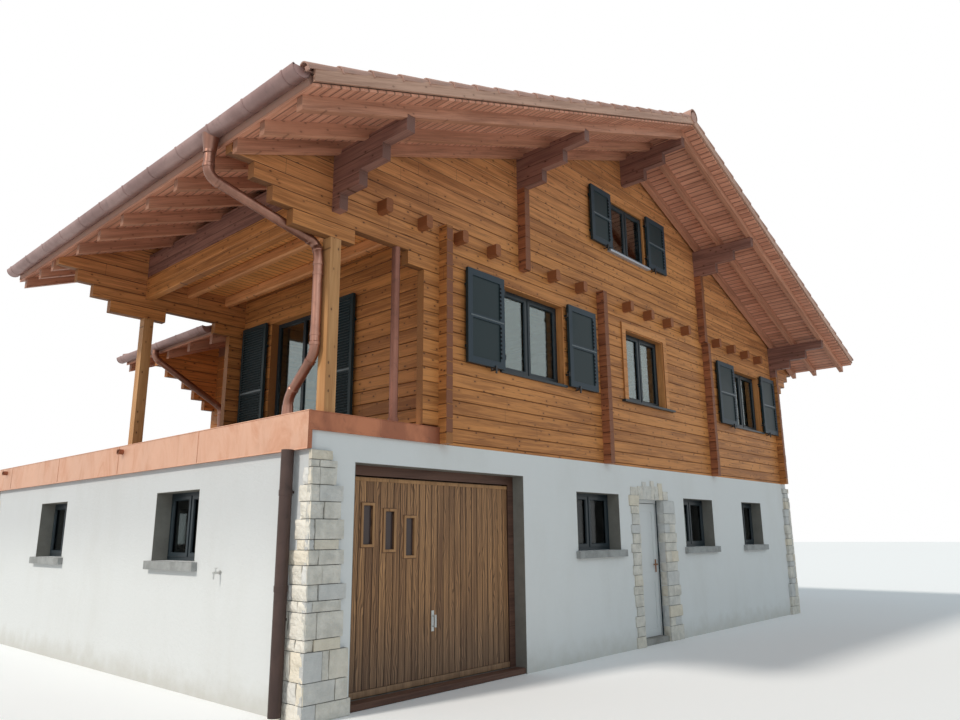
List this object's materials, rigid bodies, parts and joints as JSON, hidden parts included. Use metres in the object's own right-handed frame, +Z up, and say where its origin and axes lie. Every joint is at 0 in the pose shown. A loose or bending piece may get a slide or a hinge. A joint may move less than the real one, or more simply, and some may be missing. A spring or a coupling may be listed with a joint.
{
  "type": "alpine log chalet",
  "caption": "Hillside chalet: white rendered base storey with garage and entrance, log storey with a covered terrace, stepped log brackets and a low tiled roof, with a lower wing behind.",
  "frame": {"origin": "centre of the underside of the base storey, at ground level", "axes": "+X to the right along the front, +Y to the rear (the front faces -Y), +Z up"},
  "size_m": [13.69, 9.834, 7.685],
  "materials": {
    "render": "smooth white lime render",
    "concrete": "rough concrete",
    "limestone": "rough split limestone",
    "sill_stone": "sawn grey stone",
    "log_wood": "oiled spruce logs, satin",
    "dark_wood": "oiled spruce, satin",
    "board_wood": "planed boards, satin",
    "door_wood": "oak boards, satin",
    "tiles": "matt fired clay",
    "copper": "weathered copper sheet",
    "frames": "satin anthracite",
    "shutter_paint": "satin anthracite",
    "pane": "clear",
    "white_paint": "satin white",
    "handle_metal": "brushed",
    "rusty_metal": "rusty",
    "casing_wood": "oiled, satin"
  },
  "bodies": {
    "house": {"floor_slab": "concrete", "base_front_left": "render", "base_front_middle": "render", "base_front_right": "render", "base_lintels": "render", "base_left_wall": "render", "base_right_wall": "render", "base_rear_wall": "render", "corner_stones": "limestone", "door_surround": "limestone", "base_sills": "sill_stone", "base_window_frames": "frames", "base_glass": "pane", "garage_frame": "door_wood", "entrance_frame": "white_paint", "ceiling_slab": "concrete", "terrace_floor": "concrete", "copper_coping": "copper", "front_log_wall": "log_wood", "front_gable": "log_wood", "left_log_wall": "log_wood", "right_log_wall": "log_wood", "rear_log_wall": "log_wood", "rear_gable": "log_wood", "cross_log_ends": "log_wood", "attic_joists": "dark_wood", "attic_floor": "board_wood", "terrace_posts": "dark_wood", "edge_beam": "log_wood", "purlins": "dark_wood", "left_rafters": "dark_wood", "right_rafters": "dark_wood", "left_roof_boards": "board_wood", "right_roof_boards": "board_wood", "left_roof_tiles": "tiles", "right_roof_tiles": "tiles", "ridge_tiles": "tiles", "verge_boards": "dark_wood", "gutters": "copper", "downpipes": "copper", "upper_window_frames": "frames", "upper_glass": "pane", "window_casings": "casing_wood", "shutters": "shutter_paint", "terrace_door": "frames", "wing_walls": "log_wood", "wing_rafters": "dark_wood", "wing_roof_boards": "board_wood", "wing_roof_tiles": "tiles", "tap": "handle_metal"},
    "garage_door": {"garage_leaf": "door_wood", "garage_glass": "pane", "garage_handle": "handle_metal"},
    "entrance_door": {"entrance_leaf": "white_paint", "entrance_handle": "rusty_metal"}
  },
  "joints": [
    {"name": "garage_door_hinge", "type": "hinge", "parent": "house", "child": "garage_door", "pos_m": [-3.92, -4.068, 2.056], "axis": [-1, 0, 0], "range_deg": [0, 85]},
    {"name": "entrance_door_hinge", "type": "hinge", "parent": "house", "child": "entrance_door", "pos_m": [-0.031, -4.072, 1], "axis": [0, 0, 1], "range_deg": [0, 90]}
  ]
}
